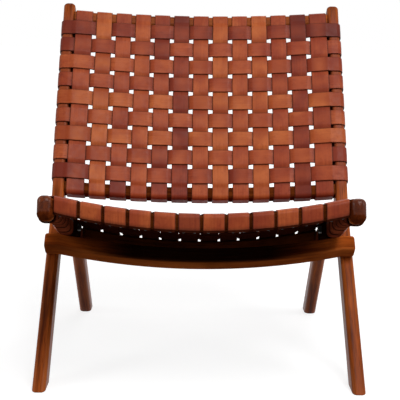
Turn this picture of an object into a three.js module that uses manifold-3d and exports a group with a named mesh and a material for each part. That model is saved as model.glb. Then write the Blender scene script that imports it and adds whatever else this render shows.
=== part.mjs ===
// Folding lounge chair: two crossed hardwood frames with a back and a seat of interlaced leather straps.
// Millimetres. X runs across the chair, Y from the front to the rear, Z up from the floor.
import * as THREE from "three";
import { mergeVertices } from "three/addons/utils/BufferGeometryUtils.js";
import Module from "manifold-3d";

const wasm = await Module();
wasm.setup();

// Driving sizes of the wood.
const chair_width = 631;
const post_depth = 45;
const seat_rail_depth = 43;
const post_edge_radius = 8;
const seat_rail_edge_radius = 10.5;
const post_thickness = 26;
const seat_rail_thickness = 27;
const side_gap = 4.5;
const front_leg_lean_degrees = 44.3;
const back_lean_degrees = 31.5;
const post_bend_height = 279;
const post_bend_reach = 39;
const post_upper_length = 520;
const post_end_radius = 9;
const seat_tip_before_bend = 404.25;
const seat_tip_above_bend = 94.5;
const seat_run_length = 492.2;
const seat_slope_degrees = 16.3;
const rear_leg_lean_degrees = 40.8;
const rear_leg_bend_reach = 85;
const seat_tip_radius = 10;
const seat_waist_depth = 9;
const seat_waist_start = 43;
const seat_waist_full = 88;
const seat_waist_fade = 190;
const seat_waist_end = 300;

// Driving sizes of the bars between the posts, and between the seat rails.
const bar_edge_radius = 6;
const back_bar_height = 26;
const back_bar_depth = 28;
const back_bar_rise = 50;
const back_bottom_sag = 31.5;
const back_top_sag = 22;
const seat_bar_length_on_seat = 26;
const seat_bar_height = 27;
const seat_front_bar_setback = 17;
const seat_sag = 31.5;
const cross_rail_width = 33;
const cross_rail_thickness = 34;
const cross_rail_edge_radius = 5;
const cross_rail_sag = 33;
const cross_rail_overhang = 0.5;

// Driving sizes of the leather.
const back_upright_gap = 9;
const back_side_slit = 6.7;
const back_cross_strap_width = 35.2;
const seat_long_gap = 5.2;
const seat_side_slit = 3.8;
const seat_cross_strap_width = 35;
const strap_thickness = 2.6;
const strap_pitch = 44.2;
const layer_gap = 0.3;
const back_bottom_slit = 4.9;
const back_top_slit = 2.1;
const seat_front_slit = 3.6;
const seat_rear_slit = 6;
const tail_end_inset = 9;
const inner_tail_length = 24;
const short_tail_length = 2;
const back_upright_straps = 13;
const back_cross_straps = 9;
const seat_long_straps = 12;
const seat_cross_straps = 10;
const seat_wrapped_straps = 6;
const seat_short_straps = 3;

// Driving sizes of the pivots, the clearance that resting pieces keep, and that of the turning bolt.
const seat_clearance = 0.3;
const running_clearance = 0.06;
const bolt_radius = 4;
const bolt_head_radius = 9;
const bolt_head_height = 3;
const bolt_head_recess = 0.7;
const bolt_end_overhang = 1.5;
const washer_radius = 8.5;
const nut_radius = 8;
const nut_height = 6.5;

// The share of an edge's rounding that a strap still lies level on.
const level_rounding_share = 0.8;

// How finely curves are cut.
const corner_steps = 2;
const bend_steps = 4;
const end_steps = 3;
const bar_steps = 16;
const round_sides = 32;

// Colours of the stained hardwood, the saddle leather and the steel.
const wood = { color: 0x6b3320, roughness: 0.42, metalness: 0 };
const tan = { color: 0xb25c3c, roughness: 0.42, metalness: 0 };
const russet = { color: 0xa05036, roughness: 0.44, metalness: 0 };
const chestnut = { color: 0x924832, roughness: 0.45, metalness: 0 };
const oxblood = { color: 0x7a3a2e, roughness: 0.46, metalness: 0 };
const steel = { color: 0x8c8a86, roughness: 0.35, metalness: 1 };

const radians = THREE.MathUtils.degToRad;
const post_outer = chair_width / 2;
const post_inner = post_outer - post_thickness;
const rail_outer = post_inner - side_gap;
const rail_inner = rail_outer - seat_rail_thickness;
const upright_pitch = (2 * (post_inner - back_side_slit) + back_upright_gap) / back_upright_straps;
const seat_long_pitch = (2 * (rail_inner - seat_side_slit) + seat_long_gap) / seat_long_straps;
const layer_lift = (strap_thickness + layer_gap) / 2;
const strap_lift = seat_clearance + strap_thickness / 2 + layer_lift;

// A direction in the side view, leaning back from upright by an angle in degrees.
function leaning(degrees) {
  return new THREE.Vector3(0, Math.sin(radians(degrees)), Math.cos(radians(degrees)));
}

// The side-view direction a quarter turn from a given one, towards the rear for one that points up.
function turned(direction) {
  return new THREE.Vector3(0, direction.z, -direction.y);
}

function along(start, direction, distance) {
  return start.clone().addScaledVector(direction, distance);
}

// Post and front leg: two straight runs that meet in a bend above the floor.
const leg_direction = leaning(front_leg_lean_degrees);
const back_direction = leaning(back_lean_degrees);
const back_rearward = turned(back_direction);
const post_foot = new THREE.Vector3(0, 0, 0);
const post_bend = along(post_foot, leg_direction, post_bend_height / leg_direction.z);
const post_top = along(post_bend, back_direction, post_upper_length);
const post_curve = new THREE.QuadraticBezierCurve3(
  along(post_bend, leg_direction, -post_bend_reach),
  post_bend,
  along(post_bend, back_direction, post_bend_reach),
);

// Seat rail and rear leg: the straight seat run turns through a rounded bend into the rear leg.
const seat_direction = leaning(90 + seat_slope_degrees);
const rear_leg_direction = leaning(180 - rear_leg_lean_degrees);
const seat_tip = post_bend.clone().add(new THREE.Vector3(0, -seat_tip_before_bend, seat_tip_above_bend));
const seat_corner = along(seat_tip, seat_direction, seat_run_length);
const rear_foot = along(seat_corner, rear_leg_direction, -seat_corner.z / rear_leg_direction.z);
const seat_bend_start = along(seat_corner, seat_direction, -rear_leg_bend_reach);
const seat_bend_end = along(seat_corner, rear_leg_direction, rear_leg_bend_reach);
const seat_curve = new THREE.CurvePath();
seat_curve.add(new THREE.LineCurve3(seat_tip, seat_bend_start));
seat_curve.add(new THREE.QuadraticBezierCurve3(seat_bend_start, seat_corner, seat_bend_end));
seat_curve.arcLengthDivisions = 400;
const seat_curve_length = seat_curve.getLength();

// Where the centre lines of post and seat rail cross, the bolt passes through both.
const pivot = crossingPoint();

function crossingPoint() {
  const side = (share) => seat_curve.getPointAt(share).sub(post_foot).dot(turned(leg_direction));
  const share = solve(side, 0, 1);
  return seat_curve.getPointAt(share);
}

// Bisection for the place between two shares where a rising value passes zero.
function solve(value, low_share, high_share) {
  let low = low_share;
  let high = high_share;
  for (let i = 0; i < 40; i++) {
    const middle = (low + high) / 2;
    if (value(middle) < 0) low = middle;
    else high = middle;
  }
  return (low + high) / 2;
}

// A closed solid from rings of points that follow each other, with a flat cap on each end.
function skin(rings) {
  const sides = rings[0].length;
  const positions = rings.flat().flatMap((point) => point.toArray());
  const faces = [];
  for (let ring = 0; ring + 1 < rings.length; ring++) {
    for (let side = 0; side < sides; side++) {
      const next = (side + 1) % sides;
      const a = ring * sides + side;
      const b = ring * sides + next;
      faces.push([a, b, b + sides], [a, b + sides, a + sides]);
    }
  }
  const last = (rings.length - 1) * sides;
  for (let side = 1; side + 1 < sides; side++) {
    faces.push([0, side + 1, side], [last, last + side, last + side + 1]);
  }
  return facingOut(positions, faces);
}

// Turns every face round where the solid comes out inside out.
function facingOut(positions, faces) {
  const corner = (index) => new THREE.Vector3().fromArray(positions, index * 3);
  let volume = 0;
  for (const [a, b, c] of faces) volume += corner(a).dot(corner(b).cross(corner(c)));
  const outward = volume > 0 ? faces : faces.map(([a, b, c]) => [a, c, b]);
  const geometry = new THREE.BufferGeometry();
  geometry.setAttribute("position", new THREE.Float32BufferAttribute(positions, 3));
  geometry.setIndex(outward.flat());
  geometry.computeVertexNormals();
  return geometry;
}

// A rectangle with rounded corners, as points about its middle.
function roundedRectangle(width, depth, radius) {
  const points = [];
  const signs = [[1, 1], [-1, 1], [-1, -1], [1, -1]];
  signs.forEach(([side, end], quarter) => {
    for (let step = 0; step <= corner_steps; step++) {
      const angle = (quarter + step / corner_steps) * (Math.PI / 2);
      const x = side * (width / 2 - radius) + radius * Math.cos(angle);
      const y = end * (depth / 2 - radius) + radius * Math.sin(angle);
      points.push([x, y]);
    }
  });
  return points;
}

// One ring of a length of lumber: its section about a middle, across X and along a side-view direction.
function lumberRing(section, middle, deep, scale_x, scale_deep) {
  return section.map(([x, y]) => {
    const point = along(middle, deep, y * scale_deep);
    point.x += x * scale_x;
    return point;
  });
}

// The rings that round off a free end, drawn in as they near the tip.
function endRings(section, thickness, depth, tip, outward, radius) {
  const deep = turned(outward);
  const rings = [];
  for (let step = 0; step <= end_steps; step++) {
    const angle = (step / end_steps) * (Math.PI / 2);
    const inset = radius * (1 - Math.cos(angle));
    const middle = along(tip, outward, radius * Math.sin(angle) - radius);
    const scale_x = (thickness / 2 - inset) / (thickness / 2);
    const scale_deep = (depth / 2 - inset) / (depth / 2);
    rings.push(lumberRing(section, middle, deep, scale_x, scale_deep));
  }
  return rings;
}

// The ring of a leg's sole: the section slid along the leg until it lies flat on the floor.
function soleRing(section, foot, direction) {
  const ring = lumberRing(section, foot, turned(direction), 1, 1);
  return ring.map((point) => along(point, direction, -point.z / direction.z));
}

function backPost(side) {
  const section = roundedRectangle(post_thickness, post_depth, post_edge_radius);
  const rings = [soleRing(section, post_foot, leg_direction)];
  for (let step = 0; step <= bend_steps; step++) {
    const share = step / bend_steps;
    const deep = turned(post_curve.getTangent(share));
    rings.push(lumberRing(section, post_curve.getPoint(share), deep, 1, 1));
  }
  const end = endRings(section, post_thickness, post_depth, post_top, back_direction, post_end_radius);
  rings.push(...end);
  const middle_x = side * (post_outer - post_thickness / 2);
  const post = skin(rings).translate(middle_x, 0, 0);
  const counterbore_depth = bolt_head_height + bolt_head_recess;
  const bore = bolt_radius + seat_clearance;
  return drilled(post, side, [
    [post_inner - side_gap, post_outer + side_gap, bore],
    [post_outer - counterbore_depth, post_outer + side_gap, bolt_head_radius + seat_clearance],
  ]);
}

function seatRail(side) {
  const section = roundedRectangle(seat_rail_thickness, seat_rail_depth, seat_rail_edge_radius);
  const forward = seat_direction.clone().negate();
  const [thickness, depth] = [seat_rail_thickness, seat_rail_depth];
  const rings = endRings(section, thickness, depth, seat_tip, forward, seat_tip_radius).reverse();
  rings.forEach((ring) => mirrorDeep(ring, seat_tip, seat_direction));
  for (const distance of seatRailStations()) {
    const share = distance / seat_curve_length;
    const deep = turned(seat_curve.getTangentAt(share));
    const ring = lumberRing(section, seat_curve.getPointAt(share), deep, 1, 1);
    rings.push(ring.map((point, i) => along(point, deep, -waistLift(distance, -depth / 2 - section[i][1]))));
  }
  rings.push(soleRing(section, rear_foot, rear_leg_direction));
  const middle_x = side * (rail_outer - seat_rail_thickness / 2);
  const rail = skin(rings).translate(middle_x, 0, 0);
  const bore = bolt_radius + running_clearance;
  return drilled(rail, side, [[rail_inner - side_gap, rail_outer + side_gap, bore]]);
}

// The rail is thinner behind its rounded end. How far a place on it, at a distance along the rail and a
// height above its top face, is moved up by that: all the way at the underside, and not at all at the top.
function waistLift(distance, height) {
  const { clamp, smoothstep } = THREE.MathUtils;
  const start = smoothstep(distance, seat_waist_start, seat_waist_full);
  const end = smoothstep(distance, seat_waist_fade, seat_waist_end);
  const flat = seat_rail_depth - 2 * seat_rail_edge_radius;
  return seat_waist_depth * (start - end) * clamp((-height - seat_rail_edge_radius) / flat, 0, 1);
}

// Reflects a ring's points across a line, to match the winding of the rings that follow it.
function mirrorDeep(ring, start, direction) {
  const deep = turned(direction);
  for (const point of ring) {
    const height = point.clone().sub(start).dot(deep);
    point.addScaledVector(deep, -2 * height);
  }
}

// The rail's own stations lie at the strap edges, so the leather lies on it without a gap or a cut.
function seatRailStations() {
  const stations = [seat_front_bar_setback];
  for (let row = 0; row < seat_cross_straps; row++) {
    const start = seat_panel.cross_start + row * strap_pitch;
    stations.push(start, start + seat_cross_strap_width);
  }
  const rest = seat_curve_length - stations.at(-1);
  for (let step = 1; step <= bend_steps; step++) {
    stations.push(stations[2 * seat_cross_straps] + (rest * step) / bend_steps);
  }
  return stations;
}

// A cylinder about the pivot line, from one distance out to another, on one side of the chair.
function pivotCylinder(side, from, to, radius, sides) {
  const geometry = new THREE.CylinderGeometry(radius, radius, to - from, sides);
  geometry.rotateZ(Math.PI / 2);
  return geometry.translate((side * (from + to)) / 2, pivot.y, pivot.z);
}

function solid(geometry) {
  const bare = new THREE.BufferGeometry();
  bare.setAttribute("position", geometry.getAttribute("position"));
  bare.setIndex(geometry.getIndex());
  const merged = mergeVertices(bare);
  const triVerts = new Uint32Array(merged.index.array);
  const vertProperties = new Float32Array(merged.attributes.position.array);
  return new wasm.Manifold(new wasm.Mesh({ numProp: 3, vertProperties, triVerts }));
}

function fromSolid(shape) {
  const mesh = shape.getMesh();
  const geometry = new THREE.BufferGeometry();
  geometry.setAttribute("position", new THREE.Float32BufferAttribute(mesh.vertProperties, 3));
  geometry.setIndex([...mesh.triVerts]);
  geometry.computeVertexNormals();
  return geometry;
}

// Bores a length of lumber along the pivot line; each hole is a start, an end and a radius.
function drilled(geometry, side, holes) {
  let shape = solid(geometry);
  for (const [from, to, radius] of holes) {
    shape = shape.subtract(solid(pivotCylinder(side, from, to, radius, round_sides)));
  }
  return fromSolid(shape);
}

// How far a dished line has sunk at a place across the chair, as a share of its sag.
function dish(x, half_span) {
  return Math.max(0, 1 - (x / half_span) ** 2);
}

// The woven panels. A place on one is x across, r along the frame, and h above the frame's face.
const back_panel = {
  depth: post_depth,
  edge_radius: post_edge_radius,
  frame_inner: post_inner,
  frame_outer: post_outer,
  bars: [back_bar_rise, 0],
  bar_length: back_bar_height,
  bar_height: back_bar_depth,
  long_count: back_upright_straps,
  long_pitch: upright_pitch,
  long_width: upright_pitch - back_upright_gap,
  cross_count: back_cross_straps,
  cross_width: back_cross_strap_width,
  cross_start: back_bar_rise + back_bar_height + back_bottom_slit,
  point(x, r, h) {
    const share = (r - this.bars[0]) / (this.bars[1] - this.bars[0]);
    const sag = THREE.MathUtils.lerp(back_bottom_sag, back_top_sag, share);
    const out = this.depth / 2 + h - sag * dish(x, flatReach(this));
    const point = along(post_bend, back_direction, r).addScaledVector(back_rearward, -out);
    point.x = x;
    return point;
  },
};
back_panel.bars[1] = wovenEnd(back_panel) + back_top_slit;

const seat_panel = {
  depth: seat_rail_depth,
  edge_radius: seat_rail_edge_radius,
  frame_inner: rail_inner,
  frame_outer: rail_outer,
  bars: [seat_front_bar_setback, 0],
  bar_length: seat_bar_length_on_seat,
  bar_height: seat_bar_height,
  long_count: seat_long_straps,
  long_pitch: seat_long_pitch,
  long_width: seat_long_pitch - seat_long_gap,
  cross_count: seat_cross_straps,
  cross_width: seat_cross_strap_width,
  cross_start: seat_front_bar_setback + seat_bar_length_on_seat + seat_front_slit,
  point(x, r, h) {
    const share = THREE.MathUtils.clamp(r / seat_curve_length, 0, 1);
    const upward = turned(seat_curve.getTangentAt(share)).negate();
    const out = this.depth / 2 + h + waistLift(r, h) - seat_sag * dish(x, flatReach(this));
    const point = seat_curve.getPointAt(share).addScaledVector(upward, out);
    point.x = x;
    return point;
  },
};
seat_panel.bars[1] = wovenEnd(seat_panel) + seat_rear_slit;

// The dish starts where the side of the frame begins to round off.
function flatReach(panel) {
  return panel.frame_inner + panel.edge_radius * level_rounding_share;
}

function wovenEnd(panel) {
  return panel.cross_start + (panel.cross_count - 1) * strap_pitch + panel.cross_width;
}

// A bar of a panel: a rounded section under the woven face, dished between the two sides of the frame.
function panelBar(panel, start) {
  const section = roundedRectangle(panel.bar_length, panel.bar_height, bar_edge_radius);
  const reach = panel.frame_inner - seat_clearance;
  const rings = [];
  for (let step = 0; step <= bar_steps; step++) {
    const x = THREE.MathUtils.lerp(-reach, reach, step / bar_steps);
    const middle_r = start + panel.bar_length / 2;
    rings.push(section.map(([r, h]) => panel.point(x, middle_r + r, h - panel.bar_height / 2)));
  }
  return skin(rings);
}

// The two stations that carry a strap round one corner, outside the wood's own rounding.
function cornerStations(middle_a, middle_h, radius, from_turn, to_turn) {
  const reach = 1 / Math.cos(Math.PI / 8);
  const inner = (radius + seat_clearance) * reach;
  const outer = (radius + seat_clearance + strap_thickness) * reach;
  return [0.25, 0.75].map((share) => {
    const angle = THREE.MathUtils.lerp(from_turn, to_turn, share) * 2 * Math.PI;
    const spot = (distance) => [middle_a + distance * Math.cos(angle), middle_h + distance * Math.sin(angle)];
    return [spot(inner), spot(outer)];
  });
}

// A station of a strap that lies level: its lower and its upper face at one place along it.
function levelStation(a, h) {
  return [[a, h - strap_thickness / 2], [a, h + strap_thickness / 2]];
}

// The end of a strap that is wrapped round a bar or a side of the frame, from its tail up to the face.
// The piece lies between near and far, and is as deep as its height; the tail lies under it, or goes on
// up its inner side.
function wrappedEnd(near, far, height, radius, is_tail_up) {
  const into = Math.sign(far - near);
  const [near_turn, under_turn, far_turn] = into > 0 ? [0.5, 0.75, 1] : [0, -0.25, -0.5];
  const under = -height - seat_clearance;
  const tail = far - into * tail_end_inset;
  const start = [[[tail, under], [tail, under - strap_thickness]]];
  if (is_tail_up) {
    const side = far + into * seat_clearance;
    const high = -height + radius + inner_tail_length;
    start[0] = [[side, high], [side + into * strap_thickness, high]];
    start.push(...cornerStations(far - into * radius, radius - height, radius, far_turn, under_turn));
  }
  return [
    ...start,
    ...cornerStations(near + into * radius, radius - height, radius, under_turn, near_turn),
    ...cornerStations(near + into * radius, -radius, radius, near_turn, 0.25),
  ];
}

// The end of a strap that only turns over the outer edge and stops on the side above the pivot.
function shortEnd(near, far, radius) {
  const into = Math.sign(far - near);
  const side = near - into * seat_clearance;
  const low = -radius - short_tail_length;
  return [
    [[side, low], [side - into * strap_thickness, low]],
    ...cornerStations(near + into * radius, -radius, radius, into > 0 ? 0.5 : 0, 0.25),
  ];
}

// A strap solid: stations along it, each with a lower and an upper spot, spread between its two edges.
function strapSolid(stations, place, from_edge, to_edge) {
  const rings = stations.map(([[a, low], [b, high]]) => [
    place(a, from_edge, low),
    place(a, to_edge, low),
    place(b, to_edge, high),
    place(b, from_edge, high),
  ]);
  return skin(rings);
}

// Over and under in turn: a strap along the frame lies on top where its column and row are odd together.
function isLongOver(column, row) {
  return (column + row) % 2 === 1;
}

function longStrap(panel, column) {
  const middle = (column - (panel.long_count - 1) / 2) * panel.long_pitch;
  const [first, last] = panel.bars;
  const end = (near, far) => wrappedEnd(near, far, panel.bar_height, bar_edge_radius, false);
  const onBar = (a) => levelStation(a, strap_lift - layer_lift);
  const stations = end(first, first + panel.bar_length);
  stations.push(onBar(first + panel.bar_length - bar_edge_radius));
  for (let row = 0; row < panel.cross_count; row++) {
    const start = panel.cross_start + row * strap_pitch;
    const h = strap_lift + (isLongOver(column, row) ? layer_lift : -layer_lift);
    stations.push(levelStation(start, h), levelStation(start + panel.cross_width, h));
  }
  stations.push(onBar(last + bar_edge_radius));
  stations.push(...end(last + panel.bar_length, last).reverse());
  const place = (a, edge, h) => panel.point(edge, a, h);
  return strapSolid(stations, place, middle - panel.long_width / 2, middle + panel.long_width / 2);
}

function crossStrap(panel, row, end_kind) {
  const stations = crossStrapEnd(panel, -1, end_kind);
  for (let column = 0; column < panel.long_count; column++) {
    const middle = (column - (panel.long_count - 1) / 2) * panel.long_pitch;
    const h = strap_lift + (isLongOver(column, row) ? -layer_lift : layer_lift);
    const reach = panel.long_width / 2;
    stations.push(levelStation(middle - reach, h), levelStation(middle + reach, h));
  }
  stations.push(...crossStrapEnd(panel, 1, end_kind).reverse());
  const place = (a, edge, h) => panel.point(a, edge, h);
  const start = panel.cross_start + row * strap_pitch;
  return strapSolid(stations, place, start, start + panel.cross_width);
}

// The end of a strap that lies across: short above the pivots, elsewhere wrapped round the side piece.
function crossStrapEnd(panel, side, end_kind) {
  const near = side * panel.frame_outer;
  const far = side * panel.frame_inner;
  const radius = panel.edge_radius;
  const level = levelStation(side * flatReach(panel), strap_lift - layer_lift);
  if (end_kind === "short") return [...shortEnd(near, far, radius), level];
  return [...wrappedEnd(near, far, panel.depth, radius, end_kind === "inner side"), level];
}

// The cross rail lies on the front faces of the legs, just low enough to carry the seat rails.
function crossRailHeight() {
  const reach = seat_rail_depth / 2 + seat_clearance + cross_rail_edge_radius;
  const forward = turned(leg_direction).negate();
  const out = post_depth / 2 + seat_clearance + cross_rail_thickness - cross_rail_edge_radius;
  const contact_drop = cross_rail_sag * dish(rail_outer - seat_rail_edge_radius, post_inner);
  const gap = (share) => {
    const height = share * post_bend.length() - contact_drop - cross_rail_edge_radius;
    const corner = along(along(post_foot, leg_direction, height), forward, out);
    return reach - distanceToSeatCurve(corner);
  };
  return solve(gap, 0.5, 1.1) * post_bend.length();
}

function distanceToSeatCurve(point) {
  const samples = 400;
  let least = Infinity;
  for (let step = 0; step <= samples; step++) {
    least = Math.min(least, seat_curve.getPoint(step / samples).distanceTo(point));
  }
  return least;
}

// The cross rail is dished down between the legs, and its ends are rounded off.
function crossRail() {
  const forward = turned(leg_direction).negate();
  const section = roundedRectangle(cross_rail_width, cross_rail_thickness, cross_rail_edge_radius);
  const middle = crossRailHeight() - cross_rail_width / 2;
  const out = post_depth / 2 + seat_clearance + cross_rail_thickness / 2;
  const rings = crossRailStations().map(([x, inset]) => {
    const drop = cross_rail_sag * dish(x, post_inner);
    const scale_w = (cross_rail_width - 2 * inset) / cross_rail_width;
    const scale_t = (cross_rail_thickness - 2 * inset) / cross_rail_thickness;
    return section.map(([w, t]) => {
      const height = middle + w * scale_w - drop;
      const point = along(along(post_foot, leg_direction, height), forward, out + t * scale_t);
      point.x = x;
      return point;
    });
  });
  return skin(rings);
}

// Places along the cross rail, each with how far the section is drawn in there.
function crossRailStations() {
  const reach = post_outer + cross_rail_overhang;
  const radius = cross_rail_edge_radius;
  const stations = [];
  for (let step = 0; step <= bar_steps; step++) {
    stations.push([THREE.MathUtils.lerp(-post_inner, post_inner, step / bar_steps), 0]);
  }
  for (let step = 0; step <= end_steps; step++) {
    const angle = (step / end_steps) * (Math.PI / 2);
    const x = reach - radius + radius * Math.sin(angle);
    const inset = radius * (1 - Math.cos(angle));
    stations.push([x, inset]);
    stations.unshift([-x, inset]);
  }
  return stations;
}

function pivotBolt(side) {
  const head_out = post_outer - bolt_head_recess;
  const head_in = head_out - bolt_head_height;
  const end = rail_inner - seat_clearance - nut_height - bolt_end_overhang;
  const shank = solid(pivotCylinder(side, end, head_out - bolt_head_height / 2, bolt_radius, round_sides));
  const head = solid(pivotCylinder(side, head_in, head_out, bolt_head_radius, round_sides));
  return fromSolid(shank.add(head));
}

function pivotRing(side, from, to, radius, sides) {
  const disc = solid(pivotCylinder(side, from, to, radius, sides));
  const hole_radius = bolt_radius + seat_clearance;
  const hole = pivotCylinder(side, from - side_gap, to + side_gap, hole_radius, round_sides);
  return fromSolid(disc.subtract(solid(hole)));
}

// Scene graph: the seat frame is a group of its own, so that it can turn about the pivot.
function piece(group, name, geometry, look) {
  const mesh = new THREE.Mesh(geometry, new THREE.MeshStandardMaterial(look));
  mesh.name = name;
  group.add(mesh);
}

// The hides differ a little, so the tints of the straps come in turn.
const long_tints = [
  chestnut, tan, chestnut, russet, chestnut, oxblood,
  russet, tan, russet, tan, chestnut, oxblood,
];
const cross_tints = [chestnut, russet, tan, russet, tan, chestnut, russet, chestnut, oxblood];

function addPanelStraps(group, panel, name, endKind) {
  for (let column = 0; column < panel.long_count; column++) {
    const look = long_tints[column % long_tints.length];
    piece(group, `${name}_long_strap_${column + 1}`, longStrap(panel, column), look);
  }
  for (let row = 0; row < panel.cross_count; row++) {
    const look = cross_tints[row % cross_tints.length];
    piece(group, `${name}_cross_strap_${row + 1}`, crossStrap(panel, row, endKind(row)), look);
  }
}

function buildBackFrame() {
  const frame = new THREE.Group();
  piece(frame, "back_bottom_bar", panelBar(back_panel, back_panel.bars[0]), wood);
  piece(frame, "back_top_bar", panelBar(back_panel, back_panel.bars[1]), wood);
  piece(frame, "cross_rail", crossRail(), wood);
  for (const [side, label] of [[-1, "left"], [1, "right"]]) {
    piece(frame, `back_post_${label}`, backPost(side), wood);
    piece(frame, `pivot_bolt_${label}`, pivotBolt(side), steel);
    const [washer_in, washer_out] = [rail_outer + seat_clearance, post_inner - seat_clearance];
    const washer = pivotRing(side, washer_in, washer_out, washer_radius, round_sides);
    piece(frame, `pivot_washer_${label}`, washer, steel);
    const nut_face = rail_inner - seat_clearance;
    const nut = pivotRing(side, nut_face - nut_height, nut_face, nut_radius, 6);
    piece(frame, `pivot_nut_${label}`, nut, steel);
  }
  addPanelStraps(frame, back_panel, "back", () => "under side");
  return frame;
}

function buildSeatFrame() {
  const frame = new THREE.Group();
  piece(frame, "seat_front_bar", panelBar(seat_panel, seat_panel.bars[0]), wood);
  piece(frame, "seat_rear_bar", panelBar(seat_panel, seat_panel.bars[1]), wood);
  piece(frame, "seat_rail_left", seatRail(-1), wood);
  piece(frame, "seat_rail_right", seatRail(1), wood);
  const before_short = (row) => row < seat_wrapped_straps;
  const past_short = (row) => row >= seat_wrapped_straps + seat_short_straps;
  const endKind = (row) => (before_short(row) || past_short(row) ? "inner side" : "short");
  addPanelStraps(frame, seat_panel, "seat", endKind);
  return frame;
}

const chair = new THREE.Group();
chair.add(buildBackFrame(), buildSeatFrame());

// The origin is on the floor, in the middle of the space that the chair takes up.
const extent = new THREE.Box3().setFromObject(chair, true);
chair.position.y = -(extent.min.y + extent.max.y) / 2;

export default chair;
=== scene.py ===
"""Folding lounge chair: two crossed frames of stained hardwood with a back and a seat of interlaced leather straps.

The chair is laid out in millimetres from the middle of the front feet, with X across, Y to the rear and Z up, and
new_piece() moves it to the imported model's frame, in metres.
"""
import math

import bpy
import numpy as np
from mathutils import Matrix, Vector


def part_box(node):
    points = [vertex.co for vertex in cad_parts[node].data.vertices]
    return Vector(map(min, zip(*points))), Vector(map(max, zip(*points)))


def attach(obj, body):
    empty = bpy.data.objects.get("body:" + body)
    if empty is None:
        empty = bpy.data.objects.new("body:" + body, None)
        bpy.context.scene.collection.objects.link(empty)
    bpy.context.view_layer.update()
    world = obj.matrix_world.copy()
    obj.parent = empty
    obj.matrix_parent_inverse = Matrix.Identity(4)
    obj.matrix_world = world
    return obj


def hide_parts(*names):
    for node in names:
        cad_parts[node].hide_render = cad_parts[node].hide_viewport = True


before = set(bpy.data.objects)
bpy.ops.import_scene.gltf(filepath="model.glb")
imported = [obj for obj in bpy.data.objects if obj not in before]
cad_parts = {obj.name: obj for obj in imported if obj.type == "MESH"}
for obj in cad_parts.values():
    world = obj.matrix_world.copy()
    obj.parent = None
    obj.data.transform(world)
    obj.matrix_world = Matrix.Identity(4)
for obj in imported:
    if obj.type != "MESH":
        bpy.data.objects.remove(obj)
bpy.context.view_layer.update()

MILLIMETRE = 0.001


# ---- The camera, fitted to the photograph. ----

def studio_camera(place, down, sideways, roll, focal_length):
    """A camera at place that looks along +Y, turned down, sideways and about its own axis by angles in degrees."""
    down, sideways, roll = (math.radians(angle) for angle in (down, sideways, roll))
    ahead = Vector((math.sin(sideways) * math.cos(down), math.cos(sideways) * math.cos(down), -math.sin(down)))
    level = Vector((math.cos(sideways), -math.sin(sideways), 0))
    upright = level.cross(ahead)
    right = level * math.cos(roll) + upright * math.sin(roll)
    top = upright * math.cos(roll) - level * math.sin(roll)
    camera = bpy.data.objects.new("camera", bpy.data.cameras.new("camera"))
    camera.data.sensor_width = 36
    camera.data.lens = focal_length
    camera.data.clip_start, camera.data.clip_end = 0.05, 200
    turn = Matrix((right, top, -ahead)).transposed().to_4x4()
    camera.matrix_world = Matrix.Translation(place) @ turn
    bpy.context.scene.collection.objects.link(camera)
    bpy.context.scene.camera = camera


studio_camera((-0.0182, -2.0449, 0.681), down=9.80, sideways=0.50, roll=0.67, focal_length=90.3)


# ---- Sizes of the wood, the same as the part's. ----

HALF_WIDTH = 315.5
POST_THICKNESS, POST_DEPTH, POST_ROUNDING = 26.0, 45.0, 8.0
RAIL_THICKNESS, RAIL_DEPTH, RAIL_ROUNDING = 27.0, 43.0, 10.5
SIDE_GAP = 4.5
POST_INNER = HALF_WIDTH - POST_THICKNESS
RAIL_OUTER = POST_INNER - SIDE_GAP
RAIL_INNER = RAIL_OUTER - RAIL_THICKNESS
POST_TOP_ROUNDING, RAIL_TIP_ROUNDING = 9.0, 12.0
SOLE_ROUNDING = 2.5
BAR_ROUNDING = 6.0
LEVEL_SHARE = 0.8
BAR_LENGTH, BACK_BAR_HEIGHT, SEAT_BAR_HEIGHT = 26.0, 28.0, 27.0
BACK_BARS, SEAT_BARS = (50.0, 471.8), (17.0, 485.4)
BOTTOM_SAG, TOP_SAG, SEAT_SAG = 31.5, 22.0, 31.5
CROSS_RAIL_SAG, CROSS_RAIL_HEIGHT, CROSS_RAIL_OVERHANG = 33.0, 298.0, 0.5
WAIST = 9.0
WAIST_START, WAIST_FULL, WAIST_FADE, WAIST_END = 43, 88, 190, 300
BOLT_HOLE, HEAD_HOLE, RUNNING_HOLE = 4.3, 9.3, 4.06
POST_BEND_HEIGHT = 279
SEAT_TIP_FROM_BEND = (-404.25, 94.5)
SEAT_RUN = 492.2
LEG_LEAN, BACK_LEAN, SEAT_LEAN, REAR_LEG_LEAN = 44.3, 31.5, 106.3, 180 - 40.8

# ---- Sizes of the leather. ----

STRAP_THICKNESS = 2.6
CLEARANCE = 0.3
LOW_LEVEL = CLEARANCE + STRAP_THICKNESS / 2
HIGH_LEVEL = LOW_LEVEL + STRAP_THICKNESS + CLEARANCE
PITCH = 44.2
TAIL_INSET, INNER_TAIL, SHORT_TAIL = 9.0, 24.0, 2.0
BACK_STRAP_WIDTH, SEAT_LONG_WIDTH, SEAT_CROSS_WIDTH = 35.2, 37.6, 35.0
BACK_FIRST_ROW, SEAT_FIRST_ROW, SEAT_COLUMN_PITCH = 80.9, 46.6, 42.8
WAY_STEP = 1.6
TACK_RADIUS, TACK_INSET = 2.4, 6.0
SHORT_SEAT_STRAPS = (6, 7, 8)


def leaning(degrees):
    """The side-view direction (y, z) that leans back from upright by an angle: (sin, cos)."""
    return np.array([math.sin(math.radians(degrees)), math.cos(math.radians(degrees))])


def turned(direction):
    """A side-view direction turned a quarter towards the rear: (y, z) becomes (z, -y)."""
    return np.stack([direction[..., 1], -direction[..., 0]], axis=-1)


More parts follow.
